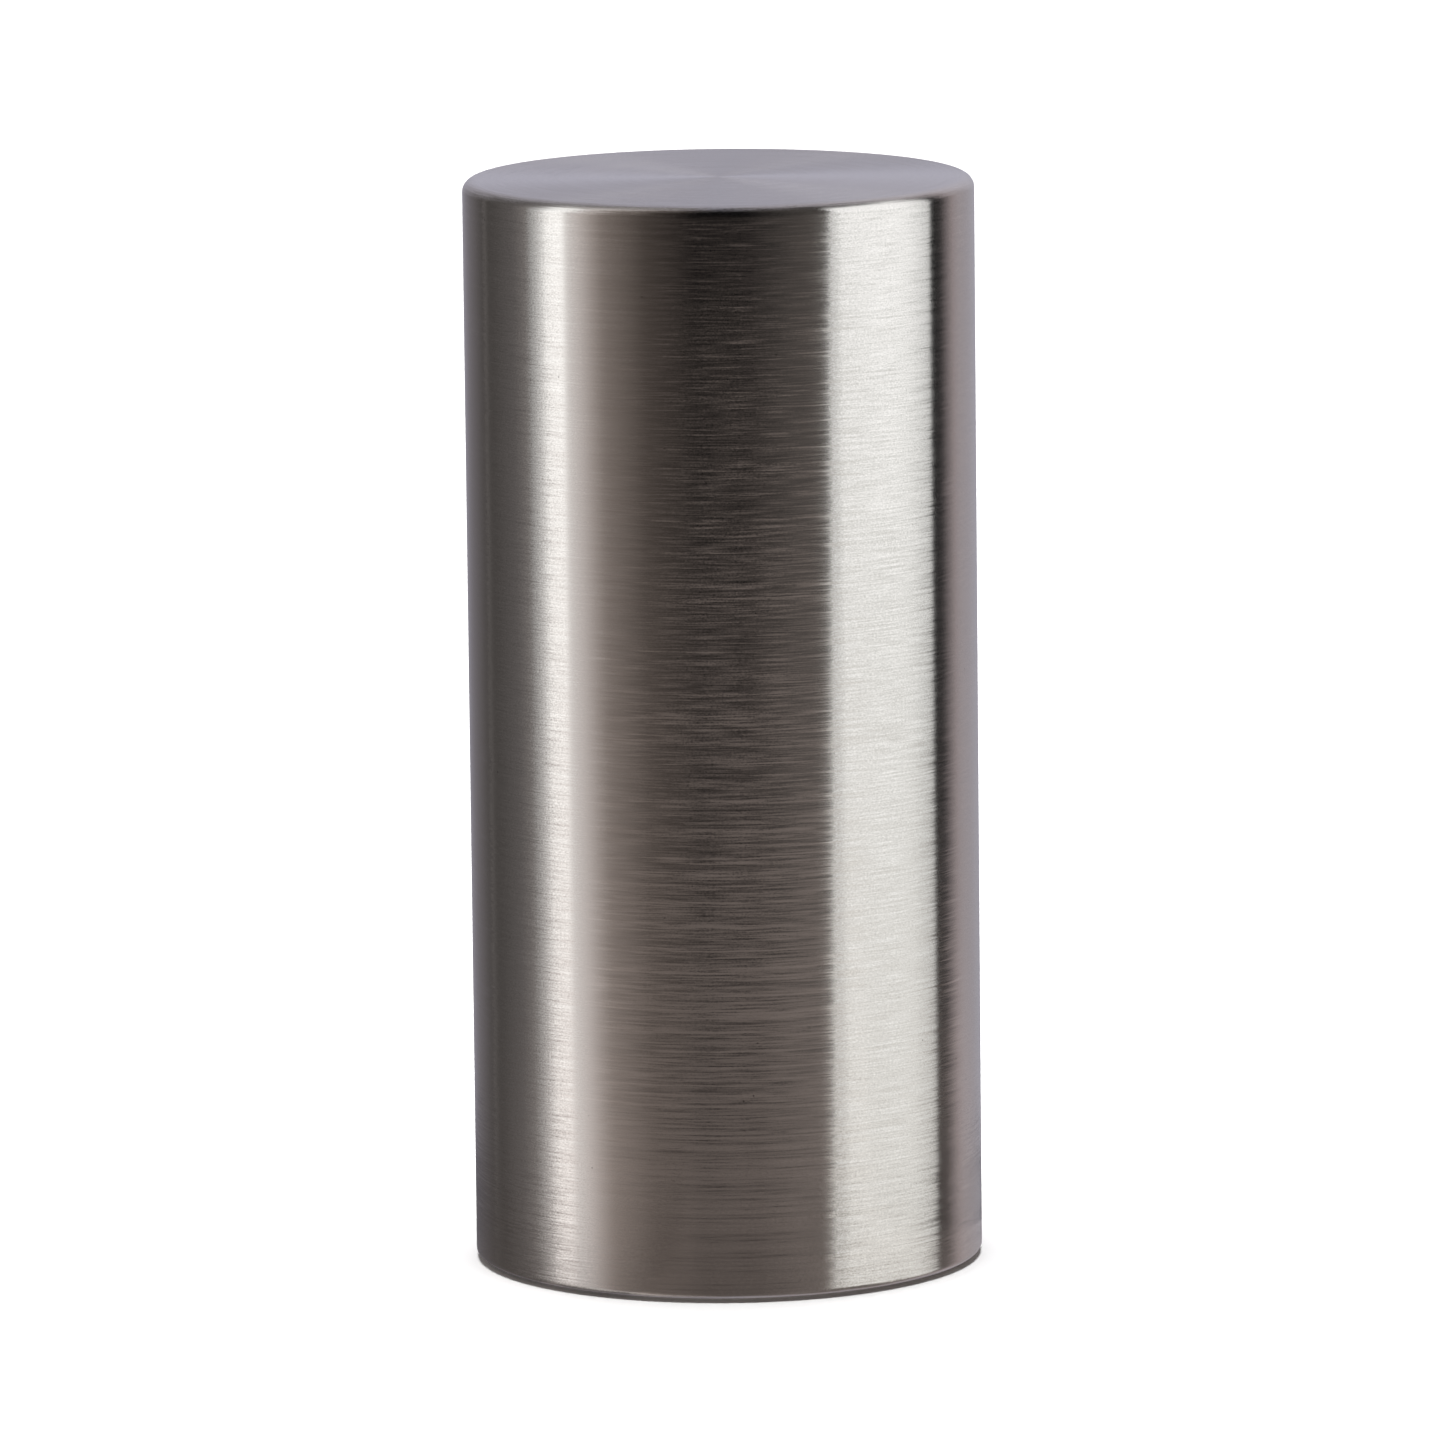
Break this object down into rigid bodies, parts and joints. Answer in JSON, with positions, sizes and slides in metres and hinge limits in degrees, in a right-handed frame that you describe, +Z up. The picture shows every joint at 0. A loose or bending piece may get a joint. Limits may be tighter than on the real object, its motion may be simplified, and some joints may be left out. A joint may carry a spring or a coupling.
{
  "type": "cryptex",
  "caption": "Brushed steel cylinder whose plain slip-on cover hides a stack of letter dials locking a sliding vault tube.",
  "frame": {"origin": "centre of the resting face, under the foot pad", "axes": "+Z up along the cylinder's axis, -Y towards the barrel slot, the gates and the index marks"},
  "size_m": [0.05, 0.05, 0.107],
  "materials": {
    "cover_steel": "brushed round the axis, concentric on the top",
    "turned_steel": "fine turned",
    "dial_steel": "satin turned, letters engraved and filled black",
    "tube_steel": "ground tube",
    "dial_brass": "machined",
    "pin_steel": "ground pin and screw steel",
    "spring_steel": "tempered strip",
    "black_screws": "black oxide",
    "black_rubber": "matt",
    "grey_felt": "pressed felt"
  },
  "bodies": {
    "core": {"base": "turned_steel", "foot_pad": "black_rubber", "base_o_ring": "black_rubber", "base_screws": "pin_steel", "base_index_pin": "dial_brass", "barrel": "tube_steel", "wave_spring": "spring_steel", "collar": "turned_steel", "collar_screws": "black_screws", "collar_index_pin": "dial_brass", "spacer_1": "dial_brass", "spacer_2": "dial_brass", "spacer_3": "dial_brass", "spacer_4": "dial_brass", "spacer_5": "dial_brass", "spacer_6": "dial_brass"},
    "dial_1": {"letter_ring_1": "dial_steel", "gate_ring_1": "dial_brass", "code_pin_1": "pin_steel"},
    "dial_2": {"letter_ring_2": "dial_steel", "gate_ring_2": "dial_brass", "code_pin_2": "pin_steel"},
    "dial_3": {"letter_ring_3": "dial_steel", "gate_ring_3": "dial_brass", "code_pin_3": "pin_steel"},
    "dial_4": {"letter_ring_4": "dial_steel", "gate_ring_4": "dial_brass", "code_pin_4": "pin_steel"},
    "dial_5": {"letter_ring_5": "dial_steel", "gate_ring_5": "dial_brass", "code_pin_5": "pin_steel"},
    "vault": {"vault_head": "turned_steel", "head_o_ring": "black_rubber", "head_screws": "black_screws", "head_index_pin": "dial_brass", "vault_tube": "tube_steel", "lock_studs": "dial_brass"},
    "cover": {"cover": "cover_steel", "cover_felt": "grey_felt"}
  },
  "joints": [
    {"name": "dial_1_turn", "type": "hinge", "parent": "core", "child": "dial_1", "pos_m": [0, 0, 0], "axis": [0, 0, 1], "continuous": true},
    {"name": "dial_2_turn", "type": "hinge", "parent": "core", "child": "dial_2", "pos_m": [0, 0, 0], "axis": [0, 0, 1], "continuous": true},
    {"name": "dial_3_turn", "type": "hinge", "parent": "core", "child": "dial_3", "pos_m": [0, 0, 0], "axis": [0, 0, 1], "continuous": true},
    {"name": "dial_4_turn", "type": "hinge", "parent": "core", "child": "dial_4", "pos_m": [0, 0, 0], "axis": [0, 0, 1], "continuous": true},
    {"name": "dial_5_turn", "type": "hinge", "parent": "core", "child": "dial_5", "pos_m": [0, 0, 0], "axis": [0, 0, 1], "continuous": true},
    {"name": "vault_slide", "type": "slide", "parent": "core", "child": "vault", "axis": [0, 0, 1], "range_m": [0, 0.096]},
    {"name": "cover_lift", "type": "slide", "parent": "vault", "child": "cover", "axis": [0, 0, 1], "range_m": [0, 0.11]}
  ]
}
